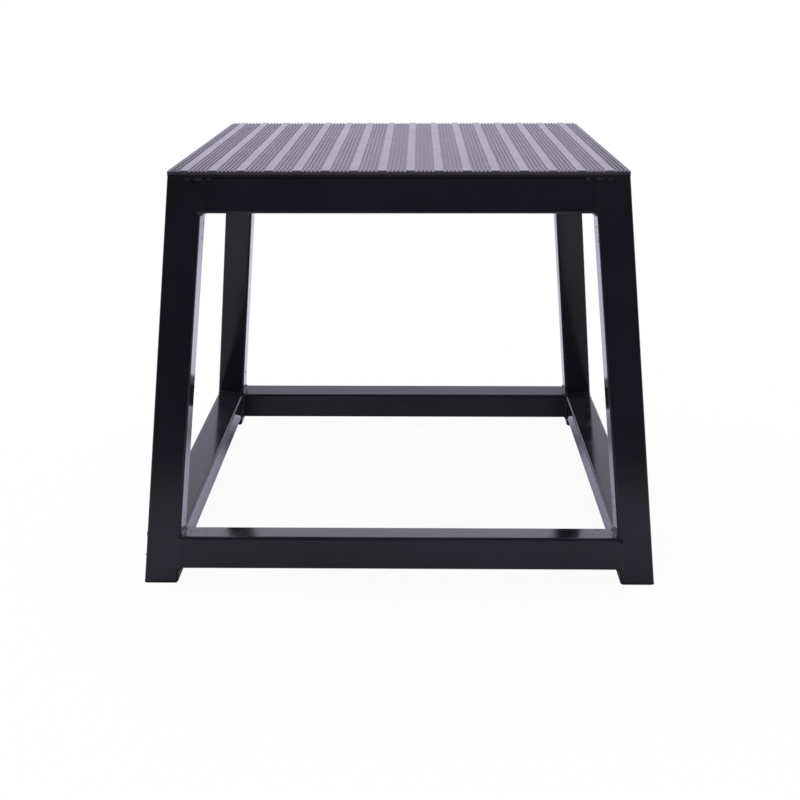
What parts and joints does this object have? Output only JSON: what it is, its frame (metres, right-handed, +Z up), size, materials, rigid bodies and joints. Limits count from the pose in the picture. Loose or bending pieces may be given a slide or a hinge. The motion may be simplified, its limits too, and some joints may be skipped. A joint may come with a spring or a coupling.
{
  "type": "plyometric box",
  "caption": "Splayed frame of welded square steel tube with lower rails, a square steel deck and a ribbed rubber mat, for jumps and step-ups.",
  "frame": {"origin": "on the floor, in the middle of the four feet", "axes": "+Z up; the front, as pictured, faces -Y; +X to the right seen from the front; the mat's ribs run along Y"},
  "size_m": [0.3838, 0.3838, 0.305],
  "materials": {
    "frame_paint": "glossy near-black powder coat with a faint blue tinge, on steel tube",
    "weld_paint": "the same coat over rippled steel weld beads",
    "deck_paint": "satin near-black coat on steel plate",
    "cap_plastic": "matt black moulded plastic",
    "mat_rubber": "grey-violet ribbed rubber sheet, satin and smoother on its flat bands"
  },
  "bodies": {
    "root": {"front_left_leg": "frame_paint", "front_right_leg": "frame_paint", "rear_right_leg": "frame_paint", "rear_left_leg": "frame_paint", "front_top_rail": "frame_paint", "right_top_rail": "frame_paint", "rear_top_rail": "frame_paint", "left_top_rail": "frame_paint", "front_lower_rail": "frame_paint", "right_lower_rail": "frame_paint", "rear_lower_rail": "frame_paint", "left_lower_rail": "frame_paint", "front_left_top_weld": "weld_paint", "front_right_top_weld": "weld_paint", "rear_right_top_weld": "weld_paint", "rear_left_top_weld": "weld_paint", "front_left_lower_weld": "weld_paint", "front_right_lower_weld": "weld_paint", "rear_right_lower_weld": "weld_paint", "rear_left_lower_weld": "weld_paint", "front_left_foot_cap": "cap_plastic", "front_right_foot_cap": "cap_plastic", "rear_right_foot_cap": "cap_plastic", "rear_left_foot_cap": "cap_plastic", "deck_plate": "deck_paint", "rubber_mat": "mat_rubber"}
  },
  "joints": []
}
